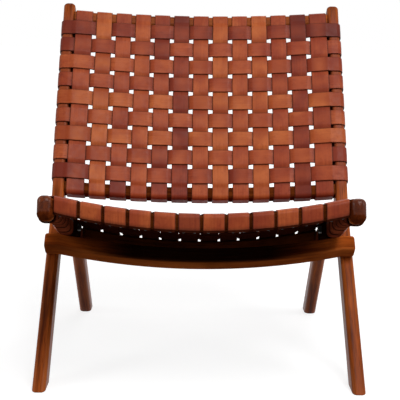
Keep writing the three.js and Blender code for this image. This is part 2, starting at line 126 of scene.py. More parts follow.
# The side view: the post bends above the floor, and the seat rail bends into the rear leg.
LEG, BACK = leaning(LEG_LEAN), leaning(BACK_LEAN)
POST_FOOT = np.zeros(2)
POST_BEND = LEG * POST_BEND_HEIGHT / LEG[1]
POST_UPPER = 520.0
POST_TOP = POST_BEND + BACK * POST_UPPER
BEND_REACH = 39.0
SEAT, REAR_LEG = leaning(SEAT_LEAN), leaning(REAR_LEG_LEAN)
SEAT_TIP = POST_BEND + np.array(SEAT_TIP_FROM_BEND)
SEAT_CORNER = SEAT_TIP + SEAT * SEAT_RUN
SEAT_BEND_REACH = 85.0
REAR_FOOT = SEAT_CORNER - REAR_LEG * SEAT_CORNER[1] / REAR_LEG[1]


def curved(start, corner, end, shares):
    """A parabola from start to end that leaves towards corner: (1-s)^2 start + 2s(1-s) corner + s^2 end."""
    s = np.asarray(shares)[:, None]
    return (1 - s) ** 2 * start + 2 * s * (1 - s) * corner + s ** 2 * end


def lengths_along(points):
    """How far each point of a path lies from its first, measured along it."""
    steps = np.linalg.norm(np.diff(points, axis=0), axis=1)
    return np.concatenate([[0], np.cumsum(steps)])


SEAT_BEND_START = SEAT_CORNER - SEAT_BEND_REACH * SEAT
SEAT_CURVE = np.concatenate([
    SEAT_TIP + (SEAT_BEND_START - SEAT_TIP) * np.linspace(0, 1, 600, endpoint=False)[:, None],
    curved(SEAT_BEND_START, SEAT_CORNER, SEAT_CORNER + SEAT_BEND_REACH * REAR_LEG, np.linspace(0, 1, 601)),
])
SEAT_DISTANCE = lengths_along(SEAT_CURVE)

# The bolts pass where the middle lines of seat rail and leg cross.
PAST_LEG = SEAT_CURVE @ turned(LEG)
PIVOT = np.array([np.interp(0, PAST_LEG, SEAT_CURVE[:, axis]) for axis in (0, 1)])


def back_place(x, r, h):
    """A place on the back: x across, r up the posts from their bend, h out of their front face.
    The face is dished to the rear by a sag that falls from the bottom bar to the top bar, times 1 - (x / half)^2,
    and that parabola runs out softly into the level face of the posts."""
    sag = BOTTOM_SAG + (TOP_SAG - BOTTOM_SAG) * (r - BACK_BARS[0]) / (BACK_BARS[1] - BACK_BARS[0])
    out = POST_DEPTH / 2 + h - sag * dish(x, POST_INNER + POST_ROUNDING * LEVEL_SHARE)
    rearward = turned(BACK)
    y = POST_BEND[0] + r * BACK[0] - out * rearward[0]
    z = POST_BEND[1] + r * BACK[1] - out * rearward[1]
    return np.stack(np.broadcast_arrays(x, y, z), axis=-1)


def seat_place(x, r, h):
    """A place on the seat: x across, r back along the rails' middle line, h up from their top face, dished down."""
    y, z = (np.interp(r, SEAT_DISTANCE, SEAT_CURVE[:, axis]) for axis in (0, 1))
    slope_y, slope_z = (np.interp(r, SEAT_DISTANCE, np.gradient(SEAT_CURVE[:, axis], SEAT_DISTANCE)) for axis in (0, 1))
    length = np.hypot(slope_y, slope_z)
    out = RAIL_DEPTH / 2 + h + waist_lift(r, h) - SEAT_SAG * dish(x, RAIL_INNER + RAIL_ROUNDING * LEVEL_SHARE)
    y = y - out * slope_z / length
    z = z + out * slope_y / length
    return np.stack(np.broadcast_arrays(x, y, z), axis=-1)


def waist_lift(r, h):
    """The seat rail is thinner behind its rounded end: how far a place r along it and h above its top face is moved
    up by that. It eases in over one smooth step and out over another, and is nothing at the top."""
    eased_in = step_up((r - WAIST_START) / (WAIST_FULL - WAIST_START))
    waist = WAIST * (eased_in - step_up((r - WAIST_FADE) / (WAIST_END - WAIST_FADE)))
    return waist * np.clip((-h - RAIL_ROUNDING) / (RAIL_DEPTH - 2 * RAIL_ROUNDING), 0, 1)


def step_up(share):
    """A smooth step from 0 to 1: 3s^2 - 2s^3."""
    s = np.clip(share, 0, 1)
    return s * s * (3 - 2 * s)


def dish(x, half):
    """A parabola 1 - (x / half)^2 that eases into zero at the sides: (d + sqrt(d^2 + 0.006^2)) / 2."""
    d = 1 - (x / half) ** 2
    return (d + np.sqrt(d ** 2 + 0.006 ** 2)) / 2


# ---- Making meshes. ----

SHIFT = (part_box("pivot_bolt_left")[0].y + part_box("pivot_bolt_left")[1].y) / 2 / MILLIMETRE - PIVOT[0]


def new_piece(name, body, material, points, faces, marks=None, stands_for=()):
    """A mesh object of the chair, given in its own millimetres, with marks kept as attributes on its points."""
    mesh = bpy.data.meshes.new(name)
    points = (np.asarray(points, float) + [0, SHIFT, 0]) * MILLIMETRE
    mesh.from_pydata(points.tolist(), [], faces)
    for mark, values in (marks or {}).items():
        kind, field = ("FLOAT", "value") if values.ndim == 1 else ("FLOAT_VECTOR", "vector")
        mesh.attributes.new(mark, kind, "POINT").data.foreach_set(field, values.astype(np.float32).ravel())
    mesh.shade_smooth()
    mesh.materials.append(material)
    piece = bpy.data.objects.new(name, mesh)
    bpy.context.scene.collection.objects.link(piece)
    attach(piece, body)
    if stands_for:
        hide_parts(*stands_for)
    return piece


def closed_tube(rings, marks):
    """Points, faces and marks of a tube through rings (stations, points, 3), closed at each end by a fan to the
    middle of its last ring. Faces are turned over where the tube's signed volume comes out negative."""
    stations, sides = rings.shape[:2]
    grid = np.arange(stations * sides).reshape(stations, sides)
    near, far = grid[:-1], grid[1:]
    quads = np.stack([near, np.roll(near, -1, 1), np.roll(far, -1, 1), far], axis=-1).reshape(-1, 4)
    first, last = stations * sides, stations * sides + 1
    start, end = grid[0], grid[-1]
    fans = np.concatenate([
        np.stack([np.roll(start, -1), start, np.full(sides, first)], axis=-1),
        np.stack([end, np.roll(end, -1), np.full(sides, last)], axis=-1),
    ])
    points = np.concatenate([rings.reshape(-1, 3), rings[[0, -1]].mean(axis=1)])
    kept = {}
    for mark, values in marks.items():
        flat = values.reshape(stations * sides, *values.shape[2:])
        kept[mark] = np.concatenate([flat, values[[0, -1]].mean(axis=1)])
    a, b, c = (points[fans[:, k]] for k in range(3))
    p, q, r, s = (points[quads[:, k]] for k in range(4))
    volume = np.sum(a * np.cross(b, c)) + np.sum(p * np.cross(q, r)) + np.sum(p * np.cross(r, s))
    if volume < 0:
        quads, fans = quads[:, ::-1], fans[:, ::-1]
    return points, quads.tolist() + fans.tolist(), kept


def partly(piece, material, share):
    """Gives a piece's faces a further material where a share, on the mean of a face's points, is more than a half."""
    mesh = piece.data
    mesh.materials.append(material)
    corner_points = np.empty(len(mesh.loops), np.int32)
    first_corners = np.empty(len(mesh.polygons), np.int32)
    mesh.loops.foreach_get("vertex_index", corner_points)
    mesh.polygons.foreach_get("loop_start", first_corners)
    corners = np.diff(np.append(first_corners, len(corner_points)))
    means = np.add.reduceat(share[corner_points], first_corners) / corners
    number = np.empty(len(mesh.polygons), np.int32)
    mesh.polygons.foreach_get("material_index", number)
    mesh.polygons.foreach_set("material_index", np.where(means > 0.5, len(mesh.materials) - 1, number).astype(np.int32))
    return piece


def drilled(piece, middle, holes):
    """Bores round holes across the piece about a side-view middle (y, z); each hole runs from x to x at a radius."""
    for start, end, radius in holes:
        angle = np.linspace(0, 2 * np.pi, 48, endpoint=False)
        ring = np.stack([0 * angle, middle[0] + radius * np.cos(angle), middle[1] + radius * np.sin(angle)], axis=-1)
        rings = np.stack([ring + [start, 0, 0], ring + [end, 0, 0]])
        points, faces, _ = closed_tube(rings, {})
        mesh = bpy.data.meshes.new("drill")
        mesh.from_pydata(((points + [0, SHIFT, 0]) * MILLIMETRE).tolist(), [], faces)
        drill = bpy.data.objects.new("drill", mesh)
        bpy.context.scene.collection.objects.link(drill)
        cut = piece.modifiers.new("bore", "BOOLEAN")
        cut.operation, cut.solver, cut.object = "DIFFERENCE", "EXACT", drill
        bpy.context.view_layer.update()
        shaped = piece.evaluated_get(bpy.context.evaluated_depsgraph_get())
        bored = bpy.data.meshes.new_from_object(shaped)
        piece.modifiers.remove(cut)
        piece.data = bored
        bpy.data.objects.remove(drill)
    piece.data.shade_smooth()
    piece.data.set_sharp_from_angle(angle=math.radians(50))
    return piece


# ---- Materials. ----

def stain(red, green, blue):
    """A colour given as a screen shows it, 0 to 255, as the plain linear values that a shader takes."""
    share = np.array([red, green, blue]) / 255
    linear = np.where(share <= 0.04045, share / 12.92, ((share + 0.055) / 1.055) ** 2.4)
    return (*linear.tolist(), 1.0)


class Recipe:
    """A node material in the making: each method adds one node and returns the socket that carries its result."""

    def __init__(self, name):
        self.material = bpy.data.materials.new(name)
        self.material.use_nodes = True
        self.nodes = self.material.node_tree.nodes
        self.links = self.material.node_tree.links
        self.surface = self.nodes["Principled BSDF"]

    def feed(self, socket, value):
        if isinstance(value, bpy.types.NodeSocket):
            self.links.new(value, socket)
        else:
            socket.default_value = value

    def mark(self, name, scale=None):
        """A mark that the mesh carries; as a place it may be stretched by a scale for each way."""
        node = self.nodes.new("ShaderNodeAttribute")
        node.attribute_name = name
        if scale is None:
            return node.outputs["Fac"]
        stretch = self.nodes.new("ShaderNodeMapping")
        stretch.inputs["Scale"].default_value = scale
        self.links.new(node.outputs["Vector"], stretch.inputs["Vector"])
        return stretch.outputs["Vector"]

    def space(self, scale=(1, 1, 1)):
        """The place in the chair, in metres times a scale for each way."""
        node = self.nodes.new("ShaderNodeTexCoord")
        stretch = self.nodes.new("ShaderNodeMapping")
        stretch.inputs["Scale"].default_value = scale
        self.links.new(node.outputs["Object"], stretch.inputs["Vector"])
        return stretch.outputs["Vector"]

    def cloud(self, place, scale, detail=3.0, roughness=0.5, distortion=0.0):
        """Soft random patches, from 0 to 1 about a middle of a half."""
        node = self.nodes.new("ShaderNodeTexNoise")
        self.feed(node.inputs["Vector"], place)
        for name, value in (("Scale", scale), ("Detail", detail), ("Roughness", roughness), ("Distortion", distortion)):
            node.inputs[name].default_value = value
        return node.outputs["Fac"]

    def pebbles(self, place, scale):
        """Distance to the nearest of many scattered points, as the grain of a hide."""
        node = self.nodes.new("ShaderNodeTexVoronoi")
        self.feed(node.inputs["Vector"], place)
        node.inputs["Scale"].default_value = scale
        return node.outputs["Distance"]

    def spread(self, value, low, high, to_low=0.0, to_high=1.0):
        """Carries low..high over to another range, evenly, and stops at its ends."""
        node = self.nodes.new("ShaderNodeMapRange")
        self.feed(node.inputs["Value"], value)
        for name, number in (("From Min", low), ("From Max", high), ("To Min", to_low), ("To Max", to_high)):
            node.inputs[name].default_value = number
        return node.outputs["Result"]

    def sum(self, operation, a, b):
        node = self.nodes.new("ShaderNodeMath")
        node.operation = operation
        self.feed(node.inputs[0], a)
        self.feed(node.inputs[1], b)
        return node.outputs[0]

    def blend(self, share, a, b, how="MIX"):
        """Mixes colour b into colour a by a share."""
        node = self.nodes.new("ShaderNodeMix")
        node.data_type, node.blend_type = "RGBA", how
        self.feed(node.inputs["Factor"], share)
        self.feed(node.inputs["A"], a)
        self.feed(node.inputs["B"], b)
        return node.outputs["Result"]

    def relief(self, height, depth, strength=1.0, under=None):
        """Raises the surface by a height from 0 to 1, times a depth in metres."""
        node = self.nodes.new("ShaderNodeBump")
        node.inputs["Strength"].default_value = strength
        node.inputs["Distance"].default_value = depth
        self.links.new(height, node.inputs["Height"])
        if under is not None:
            self.links.new(under, node.inputs["Normal"])
        return node.outputs["Normal"]

    def finish(self, colour, roughness, normal, **plain):
        """Joins the results to the surface; plain numbers go on its own sockets."""
        self.feed(self.surface.inputs["Base Color"], colour)
        self.feed(self.surface.inputs["Roughness"], roughness)
        self.feed(self.surface.inputs["Normal"], normal)
        for name, value in plain.items():
            self.surface.inputs[name.replace("_", " ")].default_value = value
        return self.material


def saddle_leather(name, body, bright, deep, gloss=0.10):
    """Vegetable-tanned strap leather: a body colour that drifts to a brighter and a deeper one in patches of a few
    centimetres, streaks along the strap, burnished dark edges, painted shade where a strap dives under the next, crowns
    lightened partly as wear and partly as a painted highlight, and a fine grain under wax."""
    recipe = Recipe(name)
    patches = recipe.cloud(recipe.mark("hide", (1, 1.4, 1)), 17, detail=2.5)
    drift = recipe.cloud(recipe.mark("hide", (1, 1, 1)), 5.5, detail=1.0)
    streaks = recipe.cloud(recipe.mark("hide", (14, 330, 1)), 1.0, detail=4, roughness=0.6)
    mottle = recipe.cloud(recipe.mark("hide", (1, 1, 1)), 150, detail=3, roughness=0.6)
    colour = recipe.blend(recipe.spread(patches, 0.40, 0.64), body, bright)
    colour = recipe.blend(recipe.spread(drift, 0.52, 0.30), colour, deep)
    colour = recipe.blend(recipe.spread(streaks, 0.35, 0.75, 0, 0.50), colour, deep)
    colour = recipe.blend(recipe.spread(mottle, 0.50, 0.72, 0, 0.45), colour, deep)
    # Crowns where a strap lies on top go lighter: partly wear, partly a painted highlight.
    wear_and_sheen = recipe.sum("MULTIPLY", recipe.mark("wear_and_sheen"), recipe.spread(patches, 0.3, 0.6, 0.15, 0.60))
    colour = recipe.blend(wear_and_sheen, colour, bright)
    # Painted shade: darker close to where a strap dives under the next one.
    tuck_shade = recipe.sum("MULTIPLY", recipe.mark("painted_tuck_shade"), 0.70)
    colour = recipe.blend(tuck_shade, colour, stain(46, 14, 7))
    burnish = recipe.spread(recipe.mark("edge"), 0.25, 0.95, 0.0, 0.75)
    colour = recipe.blend(burnish, colour, stain(52, 19, 10))
    fine = recipe.pebbles(recipe.mark("hide", (1, 1, 1)), 1300)
    soft = recipe.cloud(recipe.mark("hide", (1, 1, 1)), 60, detail=2)
    wavy = recipe.cloud(recipe.mark("hide", (1, 1, 1)), 22, detail=1)
    normal = recipe.relief(fine, 0.00006, 0.35)
    normal = recipe.relief(soft, 0.00035, 0.35, normal)
    normal = recipe.relief(wavy, 0.0020, 0.45, normal)
    roughness = recipe.spread(recipe.cloud(recipe.mark("hide", (1, 1, 1)), 90, detail=3), 0.3, 0.7, 0.30, 0.48)
    return recipe.finish(colour, roughness, normal, Specular_IOR_Level=gloss)


def stained_hardwood(name, gloss):
    """Hardwood under a dark red-brown stain and satin lacquer: long growth lines, short dark pores, patches where the
    stain took less, and lighter orange where the edges wear through, also laid on as painted light over the bars and
    the cross rail's lower face. End grain drinks more stain, faces in shade under the leather and the seat get painted
    shade, nearly black, and the posts are dyed russet by the leather that lies on them."""
    recipe = Recipe(name)
    rings = recipe.cloud(recipe.mark("lumber", (130, 95, 5.5)), 1.0, detail=4, roughness=0.55, distortion=0.6)
    pores = recipe.cloud(recipe.mark("lumber", (900, 900, 26)), 1.0, detail=2, roughness=0.6)
    patches = recipe.cloud(recipe.mark("lumber", (14, 14, 7)), 1.0, detail=2)
    colour = recipe.blend(recipe.spread(rings, 0.36, 0.66), stain(92, 35, 11), stain(162, 76, 26))
    colour = recipe.blend(recipe.spread(patches, 0.42, 0.70, 0, 0.60), colour, stain(184, 91, 33))
    colour = recipe.blend(recipe.spread(pores, 0.54, 0.68, 0, 0.70), colour, stain(44, 16, 6))
    # Lighter orange: wear on the edges, and painted light over the bars and on the cross rail's lower face.
    wear_and_sheen = recipe.sum("MULTIPLY", recipe.mark("wear_and_painted_light"), recipe.spread(patches, 0.30, 0.70, 0.15, 0.70))
    colour = recipe.blend(wear_and_sheen, colour, stain(190, 102, 46))
    colour = recipe.blend(recipe.sum("MULTIPLY", recipe.mark("dyed"), 0.75), colour, stain(140, 66, 40))
    drunk = recipe.sum("MULTIPLY", recipe.mark("end_grain"), recipe.spread(rings, 0.40, 0.60, 0.60, 0.95))
    colour = recipe.blend(drunk, colour, stain(68, 25, 9))
    # Painted shade: faces under the leather and the seat go nearly black.
    colour = recipe.blend(recipe.sum("MULTIPLY", recipe.mark("painted_shade"), 0.95), colour, stain(16, 5, 2))
    lacquer = recipe.spread(rings, 0.3, 0.7, 0.28, 0.42)
    roughness = recipe.sum("SUBTRACT", lacquer, recipe.sum("MULTIPLY", recipe.mark("end_grain"), 0.12))
    normal = recipe.relief(pores, 0.00012, 0.25)
    normal = recipe.relief(recipe.cloud(recipe.mark("lumber", (30, 30, 8)), 1.0, detail=1), 0.0012, 0.25, normal)
    return recipe.finish(colour, roughness, normal, Specular_IOR_Level=gloss)


def blued_steel(name, colour, tarnish):
    """Blued steel, with drawn lines across it and spots of tarnish that are duller and darker."""
    recipe = Recipe(name)
    drawn = recipe.cloud(recipe.space((60, 2600, 2600)), 1.0, detail=3)
    spots = recipe.cloud(recipe.space(), 260, detail=3)
    tint = recipe.blend(recipe.spread(spots, 0.48, 0.72, 0, 0.8), colour, tarnish)
    roughness = recipe.spread(spots, 0.3, 0.7, 0.26, 0.52)
    return recipe.finish(tint, roughness, recipe.relief(drawn, 0.00003, 0.3), Specular_IOR_Level=0.10)


# Body colour, brighter patches and deeper patches of each leather.
LEATHER_STAINS = {
    ("back", "tan"): ((168, 80, 41), (194, 105, 56), (142, 59, 32)),
    ("back", "russet"): ((159, 71, 40), (183, 93, 52), (130, 50, 30)),
    ("back", "chestnut"): ((149, 63, 38), (173, 83, 48), (117, 44, 29)),
    ("back", "oxblood"): ((128, 50, 34), (151, 67, 41), (98, 37, 27)),
    ("seat", "tan"): ((156, 69, 37), (182, 92, 48), (126, 48, 29)),
    ("seat", "russet"): ((154, 67, 37), (178, 88, 46), (122, 46, 28)),
    ("seat", "chestnut"): ((150, 64, 36), (174, 84, 45), (118, 44, 28)),
    ("seat", "oxblood"): ((144, 60, 36), (166, 78, 43), (110, 42, 28)),
}
LEATHERS = {
    (panel, tint): saddle_leather(f"{panel}_leather_{tint}", *(stain(*colour) for colour in colours))
    for (panel, tint), colours in LEATHER_STAINS.items()
}
# The seat's flesh side is dark and glossless as painted shade; the back's keeps the leather's own colour.
FLESH_SIDES = {
    "back": saddle_leather("back_flesh_side", stain(118, 58, 38), stain(138, 74, 50), stain(92, 42, 28), gloss=0.04),
    "seat": saddle_leather("seat_flesh_side_painted_shade", stain(80, 34, 20), stain(98, 44, 26), stain(58, 23, 14), gloss=0.0),
}
# Painted shade: a darker, glossless copy of the seat leather where it wraps under the rails.
SHADED_RAIL_WRAPS = saddle_leather("rail_wraps_painted_shade", stain(122, 54, 33), stain(142, 68, 40), stain(92, 38, 24), gloss=0.0)
HARDWOOD = stained_hardwood("stained_hardwood", 0.06)
LACQUERED_END = stained_hardwood("lacquered_rail_end", 0.13)
# Painted shade: a glossless copy of the stain, for faces in shade, so that they show no reflection.
SHADED_HARDWOOD_COPY = stained_hardwood("stained_hardwood_shaded_copy", 0.0)
BLUED_STEEL = blued_steel("blued_steel", stain(46, 40, 36), stain(26, 21, 19))


# ---- The wooden pieces. ----

def lumber_section(width, depth, rounding, steps=6):
    """A rectangle with quarter-circle corners, walked round once. Each flat has three more points, two of them close
    to its ends, so that it shades flat. Returns the points and how exposed each is: sin(2 angle) on a corner."""
    turn = np.linspace(0, np.pi / 2, steps + 1)
    quarter = np.arange(4)[:, None] * np.pi / 2 + turn
    middles = np.array([[1, 1], [-1, 1], [-1, -1], [1, -1]]) * [width / 2 - rounding, depth / 2 - rounding]
    corners = middles[:, None] + rounding * np.stack([np.cos(quarter), np.sin(quarter)], axis=-1)
    starts, ends = np.roll(corners[:, 0], -1, axis=0), corners[:, -1]
    shares = np.array([0.05, 0.5, 0.95])[:, None]
    flats = ends[:, None] + shares * (starts - ends)[:, None]
    section = np.concatenate([corners, flats], axis=1).reshape(-1, 2)
    exposed = np.concatenate([np.tile(np.sin(2 * turn), (4, 1)), np.zeros((4, 3))], axis=1).ravel()
    return section, exposed


def end_rounding(radius, steps=7):
    """A quarter circle that rounds off a free end: how far each ring lies before the end, and how far it is drawn in,
    from the full section to the tip."""
    angle = np.linspace(0, np.pi / 2, steps)
    return radius * (1 - np.sin(angle)), radius * (1 - np.cos(angle))


def lumber(name, body, section_sizes, middles, deep, insets, soles=(), seed=0.0, x_middle=0.0, painted_shade_share=0.0, lift=None,
           dye=0.0, end_grain=0.0):
    """A length of lumber that follows a side-view path: its section is carried along the path, across X and along
    deep, and drawn in by insets. A sole slides its ring along the leg until it lies level at a height. The share of
    painted shade darkens the inward faces, and on a rail also the underside, nearly black and gives them the glossless
    copy of the stain; dye says how much of the leather's colour has come off on the wood, and end_grain how much more
    stain the wood drinks, each for each station, and near a rail's tip it too gives the inward and under faces the
    glossless copy. Lift gives how far a place at a height is moved up."""
    section, exposed = lumber_section(*section_sizes)
    half = np.array(section_sizes[:2]) / 2
    scale = 1 - insets[:, None, None] / half
    flat = section[None] * scale
    inner = np.clip(-np.sign(x_middle) * flat[..., 0] / half[0] * 3 - 2, 0, 1)
    if lift is not None:
        inner = np.maximum(inner, np.clip(flat[..., 1] / half[1] * 4 - 1, 0, 1))
        flat[..., 1] -= lift(-half[1] - flat[..., 1])
    y = middles[:, 0, None] + deep[:, 0, None] * flat[..., 1]
    z = middles[:, 1, None] + deep[:, 1, None] * flat[..., 1]
    for station, level, leg in soles:
        slide = (level - z[station]) / leg[1]
        y[station] += leg[0] * slide
        z[station] += leg[1] * slide
    rings = np.stack([x_middle + flat[..., 0], y, z], axis=-1)
    along = np.broadcast_to(lengths_along(middles)[:, None], y.shape)
    place = np.stack([flat[..., 0] + 60 * seed, flat[..., 1] + 35 * seed, along + 400 * seed], axis=-1) * MILLIMETRE
    wear_and_painted_light = np.maximum(np.broadcast_to(exposed, y.shape), np.clip(insets / 4, 0, 1)[:, None])
    # Painted shade: inward faces (and a rail's underside) in the covered span go dark and, with those near a rail's
    # tip, take the glossless copy.
    marks = {"lumber": place, "wear_and_painted_light": wear_and_painted_light * (1 - end_grain), "painted_shade": inner * painted_shade_share,
             "glossless_shade": inner * np.maximum(painted_shade_share, np.sign(end_grain)),
             "dyed": np.broadcast_to(dye, y.shape), "end_grain": np.broadcast_to(end_grain, y.shape)}
    points, faces, marks = closed_tube(rings, marks)
    piece = new_piece(name, body, HARDWOOD, points, faces, marks, stands_for=(name,))
    return partly(partly(piece, LACQUERED_END, marks["end_grain"]), SHADED_HARDWOOD_COPY, marks["glossless_shade"])


def straight(start, end, step=12.0):
    """Points from start up to end, without end, about a step apart."""
    count = max(2, int(np.linalg.norm(end - start) / step))
    return start + (end - start) * np.linspace(0, 1, count, endpoint=False)[:, None]


def sole_stations(foot, leg, depth):
    """The stations of a leg's foot: rings that lie level on a small rounding, then the first upright one."""
    angle = np.linspace(0, np.pi / 2, 5)
    levels, insets = SOLE_ROUNDING * (1 - np.cos(angle)), SOLE_ROUNDING * (1 - np.sin(angle))
    clear = depth / 2 * abs(leg[0] / leg[1]) + 8
    return levels, insets, foot + leg * clear * np.sign(leg[1])


def back_post(side, label):
    """Post and front leg in one: from the level sole up the leg, round the bend and up to the rounded top."""
    levels, sole_insets, first = sole_stations(POST_FOOT, LEG, POST_DEPTH)
    before, past = POST_BEND - LEG * BEND_REACH, POST_BEND + BACK * BEND_REACH
    end_back, end_insets = end_rounding(POST_TOP_ROUNDING)
    dome = np.array([-0.35, -0.5])
    path = np.concatenate([
        np.tile(POST_FOOT, (len(levels), 1)), straight(first, before),
        curved(before, POST_BEND, past, np.linspace(0, 1, 24)),
        straight(past + BACK * 6, POST_TOP - BACK * POST_TOP_ROUNDING),
        POST_TOP - BACK * end_back[:, None], POST_TOP - BACK * dome[:, None],
    ])
    heading = np.gradient(path[len(levels):], axis=0)
    heading = heading / np.linalg.norm(heading, axis=1, keepdims=True)
    heading[-len(end_back) - len(dome):] = BACK
    heading = np.concatenate([np.tile(LEG, (len(levels), 1)), heading])
    insets = np.zeros(len(path))
    insets[:len(levels)] = sole_insets
    insets[-len(end_back) - len(dome):] = np.concatenate([end_insets, [10.8, 12.6]])
    soles = [(station, level, LEG) for station, level in enumerate(levels)]
    sizes = (POST_THICKNESS, POST_DEPTH, POST_ROUNDING)
    middle = side * (HALF_WIDTH - POST_THICKNESS / 2)
    distance = lengths_along(path) - lengths_along(path)[-1] + POST_UPPER
    # The span under the woven back: painted shade on the inward face, and the russet dye.
    painted_shade_share = (step_up((distance - 62) / 18) * step_up((492 - distance) / 12))[:, None]
    end_grain = step_up((distance - POST_UPPER + 11) / 8)[:, None] * 0.6
    post = lumber(f"back_post_{label}", "back_frame", sizes, path, turned(heading), insets, soles, 1.0 + side, middle,
                  painted_shade_share, dye=painted_shade_share, end_grain=end_grain)
    outer, head = side * HALF_WIDTH, side * (HALF_WIDTH - 3.7)
    holes = [(side * (POST_INNER - 3), outer + side * 3, BOLT_HOLE), (head, outer + side * 3, HEAD_HOLE)]
    return drilled(post, PIVOT, holes)


def seat_rail(side, label):
    """Seat rail and rear leg in one: from the rounded tip back along the seat, down the long bend to the sole."""
    levels, sole_insets, first = sole_stations(REAR_FOOT, -REAR_LEG, RAIL_DEPTH)
    tip_back, tip_insets = end_rounding(RAIL_TIP_ROUNDING)
    dome = np.array([-0.5, -0.35])
    run = np.arange(RAIL_TIP_ROUNDING + 6, SEAT_DISTANCE[-1], 8.0)
    bend = np.stack([np.interp(run, SEAT_DISTANCE, SEAT_CURVE[:, axis]) for axis in (0, 1)], axis=-1)
    path = np.concatenate([
        SEAT_TIP + SEAT * dome[:, None], SEAT_TIP + SEAT * tip_back[::-1, None], bend,
        straight(SEAT_CURVE[-1] + REAR_LEG * 3, first), np.tile(REAR_FOOT, (len(levels), 1)),
    ])
    ends = len(tip_back) + len(dome)
    heading = np.gradient(path[:-len(levels)], axis=0)
    heading = heading / np.linalg.norm(heading, axis=1, keepdims=True)
    heading[:ends] = SEAT
    heading = np.concatenate([heading, np.tile(REAR_LEG, (len(levels), 1))])
    insets = np.zeros(len(path))
    insets[:ends] = np.concatenate([[13.1, 12.7], tip_insets[::-1]])
    insets[-len(levels):] = sole_insets[::-1]
    soles = [(len(path) - 1 - station, level, REAR_LEG) for station, level in enumerate(levels)]
    sizes = (RAIL_THICKNESS, RAIL_DEPTH, RAIL_ROUNDING)
    middle = side * (RAIL_OUTER - RAIL_THICKNESS / 2)
    distance = lengths_along(path)
    # The span under the woven seat: painted shade on the inward face and underside.
    painted_shade_share = step_up((distance - 34) / 12) * step_up((570 - distance) / 60)
    lift = lambda h: waist_lift(distance[:, None], h)
    end_grain = step_up((30 - distance) / 14)[:, None]
    rail = lumber(f"seat_rail_{label}", "seat_frame", sizes, path, turned(heading), insets, soles, 4.0 + side, middle,
                  painted_shade_share[:, None], lift, end_grain=end_grain)
    return drilled(rail, PIVOT, [(side * (RAIL_INNER - 3), side * (RAIL_OUTER + 3), RUNNING_HOLE)])


def panel_bar(name, body, place, start, height, side, seed, painted_shade_share):
    """A dished bar: a rounded section that starts at a distance along the frame, with a height below the woven face,
    carried across from the wood at one side to the wood at the other, where it stops short by the clearance."""
    section, exposed = lumber_section(BAR_LENGTH, height, BAR_ROUNDING)
    x = np.linspace(CLEARANCE - side, side - CLEARANCE, 65)
    rings = place(x[:, None], start + BAR_LENGTH / 2 + section[:, 0], section[:, 1] - height / 2)
    shape = rings.shape[:2]
    grain = np.stack(np.broadcast_arrays(section[:, 0] + 50 * seed, section[:, 1], x[:, None] + 700 * seed), axis=-1)
    # Painted light and shade: the bar is lightened all over, less by its share of painted shade, which darkens it.
    wear_and_painted_light = np.maximum(np.broadcast_to(exposed, shape), 0.8) * (1 - painted_shade_share)
    marks = {"lumber": grain * MILLIMETRE, "wear_and_painted_light": wear_and_painted_light, "painted_shade": np.full(shape, painted_shade_share)}
    points, faces, marks = closed_tube(rings, marks)
    piece = new_piece(name, body, HARDWOOD, points, faces, marks, stands_for=(name,))
    return partly(piece, SHADED_HARDWOOD_COPY, marks["painted_shade"])


def cross_rail():
    """The stop in front of the legs: a rounded section carried across, dished down by a parabola, its ends rounded
    off. Under the seat its faces, down to near the lower edge, get the seat's painted shadow, the lower face, which
    looks at the floor, is lightened as painted light from the floor, and the whole rail takes the glossless copy of the
    stain."""
    width, thickness, rounding = 33.0, 34.0, 5.0
    section, exposed = lumber_section(width, thickness, rounding)
    ahead = -turned(LEG)
    inner = np.linspace(-POST_INNER, POST_INNER, 65)
    back, drawn = end_rounding(rounding)
    outer = HALF_WIDTH + CROSS_RAIL_OVERHANG - back
    x = np.concatenate([-outer[::-1], inner, outer])
    inset = np.concatenate([drawn[::-1], 0 * inner, drawn])
    up = CROSS_RAIL_HEIGHT - CROSS_RAIL_SAG * np.maximum(0, 1 - (x / POST_INNER) ** 2)
    scale = 1 - inset[:, None, None] / (np.array([width, thickness]) / 2)
    flat = section[None] * scale
    height = up[:, None] + flat[..., 0]
    out = POST_DEPTH / 2 + CLEARANCE + thickness / 2 + flat[..., 1]
    y = LEG[0] * height + ahead[0] * out
    z = LEG[1] * height + ahead[1] * out
    rings = np.stack(np.broadcast_arrays(x[:, None], y, z), axis=-1)
    grain = np.stack(np.broadcast_arrays(flat[..., 0] + 410, flat[..., 1], x[:, None]), axis=-1) * MILLIMETRE
    wear_and_painted_light = np.maximum(np.broadcast_to(exposed, y.shape), np.clip(inset / 4, 0, 1)[:, None])
    # Painted shadow of the seat on the upper faces in the middle, and painted light on the lower face as if lit from
    # the floor.
    seat_shadow_span = step_up((265 - np.abs(x)) / 130)[:, None]
    upper = step_up((flat[..., 0] + width * 0.40) / (width * 0.14))
    upper = np.maximum(upper, step_up((flat[..., 1] / thickness * 2 - 0.45) / 0.5))
    floor_lit_face = step_up((-width * 0.36 - flat[..., 0]) / (width * 0.06))
    marks = {"lumber": grain, "wear_and_painted_light": np.maximum(wear_and_painted_light, 0.85 * floor_lit_face), "painted_shade": seat_shadow_span * upper}
    points, faces, marks = closed_tube(rings, marks)
    rail = new_piece("cross_rail_wood", "back_frame", HARDWOOD, points, faces, marks,
                     stands_for=("cross_rail",))
    return partly(rail, SHADED_HARDWOOD_COPY, np.ones(len(points)))


# ---- The leather straps. ----

